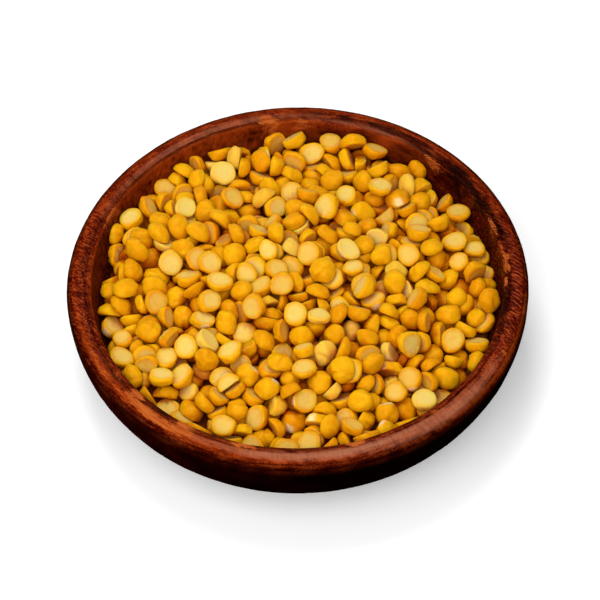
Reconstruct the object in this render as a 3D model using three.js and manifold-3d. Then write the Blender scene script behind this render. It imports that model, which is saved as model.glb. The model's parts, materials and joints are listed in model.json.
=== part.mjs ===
// A shallow turned wooden dish heaped with chana dal (split, husked chickpeas).
// Millimetres, +Z up. The origin is the middle of the foot, on the surface that the dish stands on.
import * as THREE from 'three';
import { mergeVertices } from 'three/addons/utils/BufferGeometryUtils.js';
import Module from 'manifold-3d';

// The dish: a thick-walled bowl with a flat foot and a rounded lip
const DISH_DIAMETER = 130;
const DISH_HEIGHT = 30;
const FOOT_DIAMETER = 83;
const LIP_WIDTH = 7;
const LIP_OUTER_WIDTH = 3.6; // from the widest point of the wall in to the crest of the lip
const LIP_OUTER_DROP = 3.2; // from the crest down to the widest point of the wall
const LIP_INNER_DROP = 1.1; // from the crest down to the inner edge of the lip
const FLOOR_THICKNESS = 6.5;
const FLOOR_DIAMETER = 76;
const DISH_SIDES = 56;
const OUTER_WALL_STEPS = 8; // straight stretches that stand for each curve of the profile
const LIP_OUTER_STEPS = 4;
const LIP_INNER_STEPS = 3;
const INNER_WALL_STEPS = 7;

// The heap: a smooth core under one layer of grains, with a moat below the lip
const CORE_TOP = 29; // at the centre
const CORE_EDGE = 22.6; // at the wall
const HEAP_GAP = 0.5; // between the heap and the dish
const CORE_SIDES = 24;
const CORE_WALL_STEPS = 6;
const CORE_DOME_STEPS = 3;

// The dal: half peas with one flat cut face and one domed face
const GRAIN_DIAMETER = 6.8;
const GRAIN_THICKNESS = 3.3;
const GRAIN_SHOULDER = 0.8; // width of the domed face at shoulder height, as a share of the diameter
const GRAIN_SHOULDER_HEIGHT = 0.66; // as a share of the thickness
const GRAIN_SIDES = 7;
const GRAIN_COUNT = 206;
const GRAIN_SIZE_RANGE = [0.86, 1.1]; // from small to large grains, as shares of the true size
const GRAIN_OVAL_RANGE = [0.86, 1]; // breadth of a grain as a share of its length
const GRAIN_JITTER = 0.4; // sideways, from the even spread
const NUDGE = 0.3; // how far one step moves a grain away from the wall
const NUDGE_LIMIT = 20;
const HEAP_SEED = 7;

// How a grain lies: its share of the grains, its tilt in degrees from cut face down,
// and the height of its middle above the core
const LYING = [
  { share: 0.42, tilt: [150, 180], height: [0.3, 0.9] }, // cut face up
  { share: 0.44, tilt: [0, 32], height: [0.5, 1] }, // domed face up
  { share: 0.14, tilt: [50, 75], height: [0.8, 1.4] }, // on its edge
];

const WOOD_COLOUR = 0x6a2410;
const DAL_COLOUR = 0xe6a31c;

const GOLDEN_ANGLE = Math.PI * (3 - Math.sqrt(5));
const UP = new THREE.Vector3(0, 0, 1);

const dishRadius = DISH_DIAMETER / 2;
const widestLevel = DISH_HEIGHT - LIP_OUTER_DROP;
const crestRadius = dishRadius - LIP_OUTER_WIDTH;
const innerEdgeRadius = dishRadius - LIP_WIDTH;
const innerEdgeLevel = DISH_HEIGHT - LIP_INNER_DROP;
const floorRadius = FLOOR_DIAMETER / 2;

const wasm = await Module();
wasm.setup();

// Numbers from 0 to 1 that come out the same each time
function seededRandom(seed) {
  let state = seed;
  return () => {
    state = (state + 0x6d2b79f5) | 0;
    let mixed = Math.imul(state ^ (state >>> 15), 1 | state);
    mixed = (mixed + Math.imul(mixed ^ (mixed >>> 7), 61 | mixed)) ^ mixed;
    return ((mixed ^ (mixed >>> 14)) >>> 0) / 2 ** 32;
  };
}

// Points along part of an ellipse, angles in degrees from +r towards +z
function arc(centreR, centreZ, radiusR, radiusZ, from, to, steps) {
  const points = [];
  for (let i = 0; i <= steps; i++) {
    const angle = THREE.MathUtils.degToRad(from + ((to - from) * i) / steps);
    const r = centreR + radiusR * Math.cos(angle);
    const z = centreZ + radiusZ * Math.sin(angle);
    points.push(new THREE.Vector2(r, z));
  }
  return points;
}

// A profile of (r, z) points turned about the Z axis, from the bottom up on the outside
function turned(profile, sides) {
  return new THREE.LatheGeometry(profile, sides).rotateX(Math.PI / 2);
}

// A closed geometry as a solid for joining
function solid(geometry) {
  const bare = new THREE.BufferGeometry();
  bare.setAttribute('position', geometry.getAttribute('position'));
  bare.setIndex(geometry.getIndex());
  const welded = mergeVertices(bare, 1e-4);
  const corners = Array.from(welded.getIndex().array);
  const triangles = [];
  for (let i = 0; i < corners.length; i += 3) {
    const [a, b, c] = corners.slice(i, i + 3);
    if (a !== b && b !== c && c !== a) {
      triangles.push(a, b, c);
    }
  }
  const mesh = new wasm.Mesh({
    numProp: 3,
    vertProperties: new Float32Array(welded.getAttribute('position').array),
    triVerts: new Uint32Array(triangles),
  });
  return new wasm.Manifold(mesh);
}

// The outer skin of the largest body in a solid, so that no loose scrap or sealed hollow is left
function largestBody(joined) {
  const bodies = joined.decompose();
  const largest = bodies.reduce((best, body) => (body.volume() > best.volume() ? body : best));
  const { vertProperties, triVerts } = largest.getMesh();
  const geometry = new THREE.BufferGeometry();
  geometry.setAttribute('position', new THREE.BufferAttribute(vertProperties, 3));
  geometry.setIndex(new THREE.BufferAttribute(triVerts, 1));
  geometry.computeVertexNormals();
  return geometry;
}

// The profile runs up the outer wall, over the lip and down the inner wall to the floor
function dishGeometry() {
  const footRadius = FOOT_DIAMETER / 2;
  const lipInnerWidth = LIP_WIDTH - LIP_OUTER_WIDTH;
  const innerBreadth = innerEdgeRadius - floorRadius;
  const innerDepth = innerEdgeLevel - FLOOR_THICKNESS;
  const profile = [
    new THREE.Vector2(0, 0),
    ...arc(footRadius, widestLevel, dishRadius - footRadius, widestLevel, -90, 0, OUTER_WALL_STEPS),
    ...arc(crestRadius, widestLevel, LIP_OUTER_WIDTH, LIP_OUTER_DROP, 0, 90, LIP_OUTER_STEPS).slice(1),
    ...arc(crestRadius, innerEdgeLevel, lipInnerWidth, LIP_INNER_DROP, 90, 180, LIP_INNER_STEPS).slice(1),
    ...arc(floorRadius, innerEdgeLevel, innerBreadth, innerDepth, 0, -90, INNER_WALL_STEPS).slice(1),
    new THREE.Vector2(0, FLOOR_THICKNESS),
  ];
  return turned(profile, DISH_SIDES);
}

// Radius of the inside of the dish at a level
function cavityRadius(level) {
  const down = THREE.MathUtils.clamp((innerEdgeLevel - level) / (innerEdgeLevel - FLOOR_THICKNESS), 0, 1);
  return floorRadius + (innerEdgeRadius - floorRadius) * Math.sqrt(1 - down * down);
}

const coreRadius = cavityRadius(CORE_EDGE) - HEAP_GAP;

// Level of the top of the core, from its centre out to the wall
function coreLevel(radius) {
  const share = radius / coreRadius;
  return CORE_TOP - (CORE_TOP - CORE_EDGE) * share * share;
}

function coreGeometry() {
  const depth = innerEdgeLevel - FLOOR_THICKNESS - HEAP_GAP;
  const breadth = innerEdgeRadius - floorRadius - HEAP_GAP;
  const edgeAngle = -THREE.MathUtils.radToDeg(Math.asin((innerEdgeLevel - CORE_EDGE) / depth));
  const profile = [
    new THREE.Vector2(0, FLOOR_THICKNESS + HEAP_GAP),
    ...arc(floorRadius, innerEdgeLevel, breadth, depth, -90, edgeAngle, CORE_WALL_STEPS),
  ];
  for (let i = 1; i <= CORE_DOME_STEPS; i++) {
    const radius = coreRadius * (1 - i / CORE_DOME_STEPS);
    profile.push(new THREE.Vector2(radius, coreLevel(radius)));
  }
  return turned(profile, CORE_SIDES);
}

// One half pea, cut face down at half its thickness below the origin
function grainGeometry() {
  const radius = GRAIN_DIAMETER / 2;
  const half = GRAIN_THICKNESS / 2;
  const profile = [
    new THREE.Vector2(0, -half),
    new THREE.Vector2(radius, -half),
    new THREE.Vector2(radius * GRAIN_SHOULDER, GRAIN_THICKNESS * GRAIN_SHOULDER_HEIGHT - half),
    new THREE.Vector2(0, half),
  ];
  return turned(profile, GRAIN_SIDES);
}

// One of the ways to lie, drawn by their shares
function drawLying(draw) {
  let reached = 0;
  return LYING.find(({ share }) => (reached += share) > draw) ?? LYING.at(-1);
}

// A spin about the grain's own axis, then a tilt to any side, then the slope of the heap
function grainTurn(spin, tilt, heading, slope) {
  const tiltAxis = new THREE.Vector3(Math.cos(heading), Math.sin(heading), 0);
  const turn = new THREE.Quaternion().setFromUnitVectors(UP, slope);
  turn.multiply(new THREE.Quaternion().setFromAxisAngle(tiltAxis, THREE.MathUtils.degToRad(tilt)));
  return turn.multiply(new THREE.Quaternion().setFromAxisAngle(UP, spin));
}

// True where every corner of a grain is clear of the inside of the dish
function clearOfDish(geometry) {
  const corner = new THREE.Vector3();
  const places = geometry.getAttribute('position');
  for (let i = 0; i < places.count; i++) {
    corner.fromBufferAttribute(places, i);
    if (Math.hypot(corner.x, corner.y) > cavityRadius(corner.z) - HEAP_GAP) {
      return false;
    }
  }
  return true;
}

// The grains that show, spread evenly over the heap as seeds are in a sunflower
function heapGrains() {
  const random = seededRandom(HEAP_SEED);
  const between = ([low, high]) => THREE.MathUtils.lerp(low, high, random());
  const jitter = () => between([-GRAIN_JITTER, GRAIN_JITTER]);
  const circle = () => 2 * Math.PI * random();
  const steepness = (2 * (CORE_TOP - CORE_EDGE)) / coreRadius ** 2;
  const grains = [];
  for (let i = 0; i < GRAIN_COUNT; i++) {
    const spread = coreRadius * Math.sqrt((i + 0.5) / GRAIN_COUNT);
    const heading = i * GOLDEN_ANGLE;
    const place = new THREE.Vector3(Math.cos(heading), Math.sin(heading), 0).multiplyScalar(spread);
    place.x += jitter();
    place.y += jitter();
    const size = between(GRAIN_SIZE_RANGE);
    const scale = new THREE.Vector3(size, size * between(GRAIN_OVAL_RANGE), size);
    const lying = drawLying(random());
    const height = between(lying.height);
    const slope = new THREE.Vector3(place.x * steepness, place.y * steepness, 1).normalize();
    const turn = grainTurn(circle(), between(lying.tilt), circle(), slope);
    for (let nudges = 0; nudges <= NUDGE_LIMIT; nudges++) {
      const radius = Math.hypot(place.x, place.y);
      place.z = coreLevel(radius) + height;
      const grain = grainGeometry().applyMatrix4(new THREE.Matrix4().compose(place, turn, scale));
      if (clearOfDish(grain)) {
        grains.push(grain);
        break;
      }
      place.multiplyScalar(1 - NUDGE / radius);
    }
  }
  return grains;
}

function heapGeometry() {
  const pieces = [coreGeometry(), ...heapGrains()].map(solid);
  return largestBody(wasm.Manifold.union(pieces));
}

function named(name, geometry, material) {
  const mesh = new THREE.Mesh(geometry, material);
  mesh.name = name;
  return mesh;
}

const wood = new THREE.MeshStandardMaterial({ color: WOOD_COLOUR, roughness: 0.35, metalness: 0 });
const dal = new THREE.MeshStandardMaterial({ color: DAL_COLOUR, roughness: 0.5, metalness: 0 });

const dishOfDal = new THREE.Group();
dishOfDal.add(named('dish', dishGeometry(), wood));
dishOfDal.add(named('dal_heap', heapGeometry(), dal));

export default dishOfDal;
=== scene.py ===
import json
import math

import bpy
import numpy as np
from mathutils import Matrix, Quaternion, Vector, noise

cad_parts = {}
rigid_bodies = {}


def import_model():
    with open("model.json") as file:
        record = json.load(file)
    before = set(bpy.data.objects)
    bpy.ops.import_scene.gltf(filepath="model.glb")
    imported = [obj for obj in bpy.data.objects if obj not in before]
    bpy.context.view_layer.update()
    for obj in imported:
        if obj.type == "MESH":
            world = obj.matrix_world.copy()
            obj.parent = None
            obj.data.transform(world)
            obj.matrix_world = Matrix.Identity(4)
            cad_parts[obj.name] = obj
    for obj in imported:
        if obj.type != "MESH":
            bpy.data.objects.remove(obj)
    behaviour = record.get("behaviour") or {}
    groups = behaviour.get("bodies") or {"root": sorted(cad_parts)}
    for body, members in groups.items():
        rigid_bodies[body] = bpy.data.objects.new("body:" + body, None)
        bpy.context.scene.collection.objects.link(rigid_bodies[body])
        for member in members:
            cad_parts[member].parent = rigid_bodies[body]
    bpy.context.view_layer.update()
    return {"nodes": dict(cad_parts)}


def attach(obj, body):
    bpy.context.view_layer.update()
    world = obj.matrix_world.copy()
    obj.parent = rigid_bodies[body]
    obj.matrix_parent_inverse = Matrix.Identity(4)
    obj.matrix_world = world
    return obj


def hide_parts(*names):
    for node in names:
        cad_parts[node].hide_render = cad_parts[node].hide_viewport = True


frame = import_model()


# The dish: a shallow bowl turned on a lathe from one block of reddish wood, with two fine grooves in its lip.
# It is stained and varnished a dark red-brown and worn through to bare orange wood in places along the lip.
# Painted shade lies with the stain in its grooves, down the inside and over the outside, nearly black round
# the front and right, and painted highlights and glints lie on the lip.

MM = 0.001
DISH_RADIUS = 65.0
DISH_HEIGHT = 30.0
FOOT_RADIUS = 41.5
WIDEST_LEVEL = 26.8
CREST_RADIUS = 61.4
INNER_EDGE_RADIUS = 58.0
INNER_EDGE_LEVEL = 28.9
FLOOR_RADIUS = 38.0
FLOOR_LEVEL = 6.5
GROOVE_RADIUS = 59.7
GROOVE_DEPTH = 0.45
GROOVE_WIDTH = 0.42
OUTER_GROOVE_RADIUS = 63.7
OUTER_GROOVE_DEPTH = 0.22
OUTER_GROOVE_WIDTH = 0.3
SHINE_RADIUS = 62.2

DISH_AROUND = 640
FOOT_STEPS = 9
OUTSIDE_STEPS = 34
LIP_OUTSIDE_STEPS = 28
LIP_INSIDE_STEPS = 26
INSIDE_STEPS = 30
FLOOR_STEPS = 7

# The figure of the wood, the rings and ribs of the turning tool, where painted glints lie, and the marks that
# break up the painted highlight where the lip is rubbed, with sizes in millimetres
GRAIN_HEADING = math.radians(-35.0)
GRAIN_STRETCH = 0.22
FIGURE_SIZE = 0.6
PORE_SIZE = 0.25
SPECK_SIZE = 0.45
BLOTCH_SIZE = 7.0
FINE_ROUGHNESS = 0.6
NOISE_DETAIL = 2.0
RING_BREADTH = 0.7
RING_LENGTH = 7.0
HIGHLIGHT_RUB_BREADTH = 4.0
HIGHLIGHT_RUB_LENGTH = 0.8
RIB_COUNT = 256
RIB_LEAN = 2900.0
RIB_WANDER = 9.0

# How far from the middle line the rings begin to cover the figure, how far out they are strongest, and how
# strong
RINGS_FROM = 18.0
RINGS_FULL = 44.0
RINGS_SHARE = 0.8

# Shares of the figure, the pores, the specks and the blotches in the tone of the wood
FIGURE_SHARE = 0.5
PORE_SHARE = 0.25
SPECK_SHARE = 0.25
BLOTCH_SHARE = 0.04

# Relief of the surface: how deep, over what size and from what seed; and the slow warp of the lip: how far,
# how many times round and from where
SURFACE_RELIEF = [
    (0.05, 0.9, 3.1),
    (0.10, 5.0, 8.4),
]
LIP_WARPS = [
    (0.05, 2, 2.6),
    (0.04, 3, 2.0),
]
WEAR_DEPTH = 0.16
RELIEF_FROM = 3.0
RELIEF_RUN = 4.0
GRAIN_RELIEF = 0.25
SPECK_RELIEF = 0.5

# Places on the lip and the wall below it: azimuth and half width in degrees, inner and outer radius, how
# strong. Where the varnish is worn off, where the stain lies thin, where it lies thick or painted shade lies
# dark, where the lip is rubbed pale with a painted highlight, and where painted glints lie on the ribs of the
# turning tool and on flecks.
WORN_PLACES = [
    (4.0, 4.5, 58.0, 60.2, 0.72),
    (9.0, 4.0, 57.8, 59.4, 0.55),
    (17.0, 4.0, 57.8, 59.2, 0.6),
    (46.0, 4.0, 57.6, 58.7, 0.6),
    (88.0, 3.0, 57.4, 59.2, 0.55),
    (97.0, 2.6, 57.4, 60.8, 0.85),
    (156.0, 5.0, 57.6, 58.8, 0.6),
    (212.0, 10.0, 61.8, 63.0, 0.5),
    (213.0, 2.5, 58.8, 60.6, 0.5),
    (229.0, 8.0, 60.4, 63.2, 1.0),
    (237.5, 3.5, 57.6, 61.8, 0.95),
    (221.0, 3.0, 58.0, 60.6, 0.8),
    (255.5, 3.0, 57.4, 60.4, 0.9),
    (284.0, 3.5, 57.4, 60.0, 0.8),
    (308.0, 2.2, 58.4, 61.0, 0.6),
    (334.0, 2.0, 62.0, 64.0, 0.6),
    (357.0, 3.0, 57.8, 59.0, 0.7),
]
THIN_PLACES = [
    (124.0, 32.0, 50.0, 59.0, 0.9),
    (178.0, 14.0, 56.0, 58.6, 0.35),
    (92.0, 9.0, 54.0, 60.2, 0.7),
    (62.0, 12.0, 57.2, 58.8, 0.5),
    (62.0, 42.0, 61.8, 63.3, 0.15),
    (122.0, 26.0, 61.2, 63.4, 0.15),
    (212.0, 18.0, 61.6, 63.0, 0.5),
    (256.0, 34.0, 59.6, 62.7, 0.55),
    (304.0, 18.0, 60.2, 63.0, 0.45),
    (328.0, 22.0, 63.6, 64.8, 0.6),
]
# Thick stain, and painted shade at the front inner edge and low on the inside wall to the right
THICK_STAIN_AND_SHADE_PLACES = [
    (32.0, 24.0, 57.4, 60.9, 0.9),
    (57.0, 24.0, 59.9, 61.4, 0.8),
    (124.0, 36.0, 58.3, 59.4, 0.7),
    (348.0, 14.0, 57.0, 60.2, 0.85),
    (356.0, 20.0, 55.0, 58.0, 0.65),
    (30.0, 40.0, 55.0, 57.8, 0.6),
    (172.0, 9.0, 58.8, 61.4, 0.4),
    (212.0, 8.0, 59.9, 61.0, 0.55),
    (203.0, 12.0, 56.0, 58.8, 0.3),
    (226.0, 9.0, 58.2, 59.7, 0.75),
    (272.0, 48.0, 57.4, 59.2, 0.5),
]
RUBBED_HIGHLIGHT_PLACES = [
    (281.0, 31.0, 59.9, 62.5, 1.0),
    (309.0, 18.0, 61.2, 63.6, 0.8),
    (118.0, 28.0, 59.3, 60.9, 0.5),
    (70.0, 13.0, 58.5, 59.8, 0.38),
]
RIB_GLINT_PLACES = [
    (356.0, 15.0, 60.6, 62.7, 1.0),
]
FLECK_GLINT_PLACES = [
    (188.0, 20.0, 59.6, 62.6, 1.0),
    (334.0, 12.0, 59.6, 63.0, 0.9),
    (258.0, 20.0, 61.0, 62.7, 0.45),
    (298.0, 16.0, 61.0, 63.0, 0.5),
]

# How the edge of a place wanders: how far, over what size and from what seed
RAGGED_EDGES = [
    (0.75, 1.6, 31.7),
    (0.5, 0.6, 12.3),
]
PLACE_REACH = 1.5
LOWEST_PLACE = 20.0
RUBBED_HIGHLIGHT_RAGGEDNESS = 0.3
GLINT_RAGGEDNESS = 0.5

# Stain and painted shade: how strong and wide they lie in the grooves, how they deepen over the outer slope of
# the lip, below which level they cover the outside, and how they deepen down the inside
GROOVE_STAIN_AND_SHADE = 0.6
GROOVE_STAIN_AND_SHADE_WIDTH = 0.45
OUTER_STAIN_AND_SHADE_WIDTH = 0.35
GROOVE_HIGHLIGHT_CLEAN = 0.9
RUB_HIGHLIGHT_STRENGTH = 1.5
SLOPE_STAIN_AND_SHADE_RADIUS = 62.7
SLOPE_STAIN_AND_SHADE_RUN = 2.1
SLOPE_STAIN_AND_SHADE_POWER = 1.5
SLOPE_THINNING = 0.6
OUTSIDE_STAIN_AND_SHADE_LEVEL = 28.0
FULL_STAIN_AND_SHADE_LEVEL = 26.0
FULL_STAIN_AND_SHADE_RUN = 10.0
INSIDE_STAIN_AND_SHADE = 0.55
INSIDE_STAIN_AND_SHADE_RADIUS = 58.3
INSIDE_STAIN_AND_SHADE_LEVEL = 29.3
INSIDE_STAIN_AND_SHADE_RUN = 6.0

# Painted black shade on the outside: its middle and half width in degrees, how far its edge reaches and
# wanders, and where it starts below the lip
BLACK_SHADE_AZIMUTH = 318.0
BLACK_SHADE_HALF_WIDTH = 78.0
BLACK_SHADE_REACH = 1.6
BLACK_SHADE_EDGE = (0.2, 9.0, 4.6)
BLACK_SHADE_LEVEL = 27.5
BLACK_SHADE_RUN = 2.0

VARNISH = (0.130, 0.0088, 0.0012, 1)
VARNISH_LIGHT = (0.330, 0.0460, 0.0075, 1)
VARNISH_DEEP = (0.040, 0.0016, 0.0002, 1)
THIN_STAIN = (0.40, 0.056, 0.005, 1)
BARE_WOOD = (0.46, 0.105, 0.016, 1)
# Below: pale wear with a painted highlight, black and dark stain that serve also as painted shade, painted
# glints
SCUFF_AND_HIGHLIGHT = (0.355, 0.122, 0.062, 1)
SOOT_AND_SHADE_BLACK = (0.0012, 0.0001, 0.0001, 1)
SMOKED_AND_SHADE = (0.026, 0.0012, 0.0006, 1)
GLINT = (0.46, 0.115, 0.052, 1)
WARM_SHINE = (1.0, 0.48, 0.30, 1)
VARNISH_SHINE = 0.03
SMOKED_AND_SHADED_SHINE = 0.0

# Ranges of the figure over which each tone of the wood comes in, and how strong it is at either end
DEEP_RANGE = (0.41, 0.50)
LIGHT_RANGE = (0.50, 0.59)
BLOTCH_RANGE = (0.3, 0.7)
THIN_RANGE = (0.40, 0.55, 0.8, 1.0)
# The smoke range mixes dark stain and painted shade; the scuff and rub ranges shape the painted highlight
SMOKE_AND_SHADE_RANGE = (0.42, 0.58, 0.15, 1.0)
SCUFF_HIGHLIGHT_RANGE = (0.40, 0.52, 0.7, 1.0)
HIGHLIGHT_RUB_RANGE = (0.36, 0.60, 0.68, 1.0)
# The rib, fleck and glint ranges shape the painted glints
RIB_RANGE = (0.6, 1.0)
FLECK_RANGE = (0.57, 0.68)
GLINT_BREAKS = (0.42, 0.62, 0.05, 0.8)
WORN_BREAKS = (0.2, 0.8, -0.35, 0.35)
WORN_EDGE = (0.38, 0.72)
WORN_FROM = (0.02, 0.2)
BARE_FIGURE = (0.35, 0.55)
GLOSS_RANGE = (0.3, 0.7, 0.14, 0.26)
BARE_DULLNESS = 0.2

# Which sockets of a mix node take the share and the two colours, and which one gives the colour
MIX_INPUTS = (0, 6, 7)
MIX_OUTPUT = 2


# Points along part of an ellipse in the (r, z) plane, angles in degrees
def ellipse_run(centre, radii, start, stop, steps):
    angle = np.radians(np.linspace(start, stop, steps + 1))
    return np.column_stack((centre[0] + radii[0] * np.cos(angle), centre[1] + radii[1] * np.sin(angle)))


# A bell curve of height 1 about a middle
def bell(values, middle, width):
    return np.exp(-((values - middle) / width) ** 2)


# The section of the dish, from the middle of the foot up the outside and down the inside to the floor
def dish_section():
    foot = np.column_stack((np.linspace(0, FOOT_RADIUS, FOOT_STEPS), np.zeros(FOOT_STEPS)))
    wall_size = (DISH_RADIUS - FOOT_RADIUS, WIDEST_LEVEL)
    outside = ellipse_run((FOOT_RADIUS, WIDEST_LEVEL), wall_size, -90, 0, OUTSIDE_STEPS)
    outer_size = (DISH_RADIUS - CREST_RADIUS, DISH_HEIGHT - WIDEST_LEVEL)
    lip_outside = ellipse_run((CREST_RADIUS, WIDEST_LEVEL), outer_size, 0, 90, LIP_OUTSIDE_STEPS)
    lip_outside[:, 1] -= OUTER_GROOVE_DEPTH * bell(lip_outside[:, 0], OUTER_GROOVE_RADIUS, OUTER_GROOVE_WIDTH)
    inner_size = (CREST_RADIUS - INNER_EDGE_RADIUS, DISH_HEIGHT - INNER_EDGE_LEVEL)
    lip_inside = ellipse_run((CREST_RADIUS, INNER_EDGE_LEVEL), inner_size, 90, 180, LIP_INSIDE_STEPS)
    lip_inside[:, 1] -= GROOVE_DEPTH * bell(lip_inside[:, 0], GROOVE_RADIUS, GROOVE_WIDTH)
    hollow_size = (INNER_EDGE_RADIUS - FLOOR_RADIUS, INNER_EDGE_LEVEL - FLOOR_LEVEL)
    inside = ellipse_run((FLOOR_RADIUS, INNER_EDGE_LEVEL), hollow_size, 0, -90, INSIDE_STEPS)
    floor = np.column_stack((np.linspace(FLOOR_RADIUS, 0, FLOOR_STEPS), np.full(FLOOR_STEPS, FLOOR_LEVEL)))
    return np.vstack((foot, outside[1:], lip_outside[1:], lip_inside[1:], inside[1:], floor[1:]))


# A section turned about the Z axis into a closed skin with one point at each pole
def turned_mesh(name, section, around):
    ring = section[1:-1]
    angle = np.arange(around) * (2 * np.pi / around)
    r, z = ring[:, 0][:, None], ring[:, 1][:, None]
    body = np.stack((r * np.cos(angle), r * np.sin(angle), z + 0 * angle), axis=-1).reshape(-1, 3)
    points = np.vstack((body, (0, 0, section[0, 1]), (0, 0, section[-1, 1])))
    start, end = len(body), len(body) + 1
    last = (len(ring) - 1) * around
    step = np.arange(around)
    after = (step + 1) % around
    faces = []
    for row in range(len(ring) - 1):
        low, high = row * around, (row + 1) * around
        faces += np.column_stack((low + step, low + after, high + after, high + step)).tolist()
    faces += np.column_stack((np.full(around, start), after, step)).tolist()
    faces += np.column_stack((np.full(around, end), last + step, last + after)).tolist()
    mesh = bpy.data.meshes.new(name)
    mesh.from_pydata(points.tolist(), [], faces)
    mesh.shade_smooth()
    return mesh


# Smooth noise at each point, drawn out along the grain of the wood
def wood_noise(points, size, seed):
    along, across = math.cos(GRAIN_HEADING), math.sin(GRAIN_HEADING)
    lengthwise = (points[:, 0] * along + points[:, 1] * across) * GRAIN_STRETCH
    sideways = points[:, 1] * along - points[:, 0] * across
    places = np.column_stack((lengthwise, sideways, points[:, 2])) / size + seed
    return np.array([noise.noise(place) for place in places.tolist()])


def points_of(mesh):
    flat = np.empty(len(mesh.vertices) * 3)
    mesh.vertices.foreach_get("co", flat)
    return flat.reshape(-1, 3)


def normals_of(mesh):
    flat = np.empty(len(mesh.vertices) * 3, np.float32)
    mesh.vertex_normals.foreach_get("vector", flat)
    return flat.reshape(-1, 3)


def set_points(mesh, points):
    mesh.vertices.foreach_set("co", np.ascontiguousarray(points, np.float32).ravel())
    mesh.update()


def add_values(mesh, name, values):
    layer = mesh.attributes.new(name, "FLOAT", "POINT")
    layer.data.foreach_set("value", np.ascontiguousarray(values, np.float32))


# How many degrees each point lies round the dish from an azimuth, from -180 to 180
def turn_from(points, middle):
    azimuth = np.degrees(np.arctan2(points[:, 1], points[:, 0]))
    return (azimuth - middle + 180) % 360 - 180


# How strongly each point lies in any of some places, from 0 to 1, with edges as ragged as asked
def patched(points, places, raggedness=1.0):
    radius = np.hypot(points[:, 0], points[:, 1])
    ragged = sum(far * wood_noise(points, size, seed) for far, size, seed in RAGGED_EDGES)
    share = np.zeros(len(points))
    for middle, half, inner, outer, strength in places:
        turn = turn_from(points, middle) / half
        across = (radius - (inner + outer) / 2) / ((outer - inner) / 2)
        inward = np.clip(PLACE_REACH - np.hypot(turn, across) + raggedness * ragged, 0, 1)
        share = np.maximum(share, strength * inward)
    return share * (points[:, 2] > LOWEST_PLACE)


# How dark the stain and painted shade lie at each point, from 0 to 1: heaviest outside, in the grooves and
# down the inside, with the outside and the outer slope of the lip darkened as painted shade
def stain_and_shade(points, outer, thin, thick_and_shaded, rubbed):
    radius = np.hypot(points[:, 0], points[:, 1])
    level = points[:, 2]
    # The painted highlight where the lip is rubbed also clears the groove of its painted shade
    clean = GROOVE_HIGHLIGHT_CLEAN * np.clip(RUB_HIGHLIGHT_STRENGTH * rubbed, 0, 1)
    groove = GROOVE_STAIN_AND_SHADE * bell(radius, GROOVE_RADIUS, GROOVE_STAIN_AND_SHADE_WIDTH) * (1 - clean)
    outer_groove = GROOVE_STAIN_AND_SHADE * bell(radius, OUTER_GROOVE_RADIUS, OUTER_STAIN_AND_SHADE_WIDTH)
    slope = np.clip((radius - SLOPE_STAIN_AND_SHADE_RADIUS) / SLOPE_STAIN_AND_SHADE_RUN, 0, 1) ** SLOPE_STAIN_AND_SHADE_POWER
    wall = np.clip(1 - (level - FULL_STAIN_AND_SHADE_LEVEL) / FULL_STAIN_AND_SHADE_RUN, 0, 1)
    outside = np.where(level < OUTSIDE_STAIN_AND_SHADE_LEVEL, wall, slope * (1 - SLOPE_THINNING * thin)) * outer
    down = np.clip((INSIDE_STAIN_AND_SHADE_LEVEL - level) / INSIDE_STAIN_AND_SHADE_RUN, 0, INSIDE_STAIN_AND_SHADE)
    inside = np.where(radius < INSIDE_STAIN_AND_SHADE_RADIUS, down, 0) * (1 - thin) * (1 - outer)
    return np.maximum.reduce((groove, outer_groove, outside, inside, thick_and_shaded))


# How black the dark stain and painted shade are at each point, from 0 to 1: all through on the lip and inside,
# and on the outside only round the front and right, where it is painted shade
def soot(points, outer):
    far, size, seed = BLACK_SHADE_EDGE
    aside = np.abs(turn_from(points, BLACK_SHADE_AZIMUTH)) / BLACK_SHADE_HALF_WIDTH
    in_front = np.clip(BLACK_SHADE_REACH - aside + far * wood_noise(points, size, seed), 0, 1)
    below_lip = np.clip((BLACK_SHADE_LEVEL - points[:, 2]) / BLACK_SHADE_RUN, 0, 1) * outer
    return 1 - below_lip * (1 - in_front)


def set_inputs(made, values):
    for key, value in values.items():
        made.inputs[key].default_value = value


# A node of a material or shape tree with its settings and its unlinked inputs
def add_node(tree, kind, settings=None, inputs=None):
    made = tree.nodes.new(kind)
    for key, value in (settings or {}).items():
        setattr(made, key, value)
    set_inputs(made, inputs or {})
    return made


def link(tree, source, target):
    tree.links.new(source, target)


# Gives an input a plain value, or links a socket to it
def feed(tree, value, target):
    if isinstance(value, (int, float, tuple)):
        target.default_value = value
    else:
        link(tree, value, target)


def new_material(name):
    material = bpy.data.materials.new(name)
    material.use_nodes = True
    return material, material.node_tree, material.node_tree.nodes["Principled BSDF"]


# Object coordinates in millimetres, turned and stretched as asked
def millimetres(tree, turn=0.0, stretch=(1, 1, 1)):
    place = add_node(tree, "ShaderNodeTexCoord")
    scale = [MM / value for value in stretch]
    mapped = add_node(tree, "ShaderNodeMapping", {"vector_type": "TEXTURE"},
                      {"Rotation": (0, 0, turn), "Scale": scale})
    link(tree, place.outputs["Object"], mapped.inputs["Vector"])
    return mapped.outputs["Vector"]


def noise_value(tree, vector, size, roughness=0.5):
    made = add_node(tree, "ShaderNodeTexNoise", None,
                    {"Scale": 1 / size, "Detail": NOISE_DETAIL, "Roughness": roughness})
    link(tree, vector, made.inputs["Vector"])
    return made.outputs["Fac"]


# A value brought from one range to another, held at the ends
def ranged(tree, value, low, high, to_low=0.0, to_high=1.0, smooth=False):
    made = add_node(tree, "ShaderNodeMapRange", {"interpolation_type": "SMOOTHSTEP" if smooth else "LINEAR"},
                    {"From Min": low, "From Max": high, "To Min": to_low, "To Max": to_high})
    link(tree, value, made.inputs["Value"])
    return made.outputs["Result"]


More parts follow.
